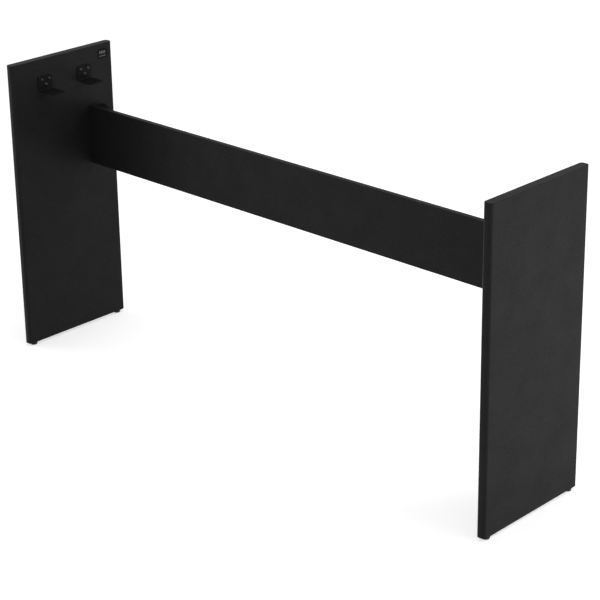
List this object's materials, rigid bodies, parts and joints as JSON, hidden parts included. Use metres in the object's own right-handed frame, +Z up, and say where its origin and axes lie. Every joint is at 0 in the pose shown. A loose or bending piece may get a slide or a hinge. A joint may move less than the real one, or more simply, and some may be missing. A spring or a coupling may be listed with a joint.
{
  "type": "digital piano stand",
  "caption": "Knock-down piano stand: two upright black boards joined by a rear cross board, with steel angle brackets inside that carry a slim piano between them.",
  "frame": {"origin": "on the floor, under the middle of the stand's bounding box", "axes": "+X to the player's right along the cross board, +Y away from the player towards the back, +Z up"},
  "size_m": [1.376, 0.294, 0.68],
  "materials": {
    "black_laminate": "satin black laminate with a fine embossed grain over particle board",
    "edge_band": "satin black edge band",
    "black_steel": "black powder coat on folded sheet steel",
    "screw_steel": "dark zinc plated steel",
    "zinc": "bright zinc plated steel",
    "beech": "plain fluted beech",
    "glide_plastic": "black moulded plastic",
    "sticker": "blank black foil sticker"
  },
  "bodies": {
    "root": {"left_side_board": "black_laminate", "right_side_board": "black_laminate", "cross_board": "black_laminate", "left_top_edge_band": "edge_band", "left_bottom_edge_band": "edge_band", "right_top_edge_band": "edge_band", "right_bottom_edge_band": "edge_band", "cross_top_edge_band": "edge_band", "cross_bottom_edge_band": "edge_band", "left_front_piano_bracket": "black_steel", "left_rear_piano_bracket": "black_steel", "right_front_piano_bracket": "black_steel", "right_rear_piano_bracket": "black_steel", "left_corner_fitting": "black_steel", "right_corner_fitting": "black_steel", "left_front_bracket_screw_1": "screw_steel", "left_front_bracket_screw_2": "screw_steel", "left_front_bracket_screw_3": "screw_steel", "left_rear_bracket_screw_1": "screw_steel", "left_rear_bracket_screw_2": "screw_steel", "left_rear_bracket_screw_3": "screw_steel", "right_front_bracket_screw_1": "screw_steel", "right_front_bracket_screw_2": "screw_steel", "right_front_bracket_screw_3": "screw_steel", "right_rear_bracket_screw_1": "screw_steel", "right_rear_bracket_screw_2": "screw_steel", "right_rear_bracket_screw_3": "screw_steel", "left_fitting_bolt_1": "screw_steel", "left_fitting_bolt_2": "screw_steel", "right_fitting_bolt_1": "screw_steel", "right_fitting_bolt_2": "screw_steel", "left_fitting_screw_1": "screw_steel", "left_fitting_screw_2": "screw_steel", "left_fitting_screw_3": "screw_steel", "left_fitting_screw_4": "screw_steel", "right_fitting_screw_1": "screw_steel", "right_fitting_screw_2": "screw_steel", "right_fitting_screw_3": "screw_steel", "right_fitting_screw_4": "screw_steel", "left_threaded_insert_1": "zinc", "left_threaded_insert_2": "zinc", "right_threaded_insert_1": "zinc", "right_threaded_insert_2": "zinc", "left_lower_dowel": "beech", "left_upper_dowel": "beech", "right_lower_dowel": "beech", "right_upper_dowel": "beech", "left_front_glide": "glide_plastic", "left_rear_glide": "glide_plastic", "right_front_glide": "glide_plastic", "right_rear_glide": "glide_plastic", "left_front_glide_pin": "zinc", "left_rear_glide_pin": "zinc", "right_front_glide_pin": "zinc", "right_rear_glide_pin": "zinc", "blank_sticker": "sticker"}
  },
  "joints": []
}
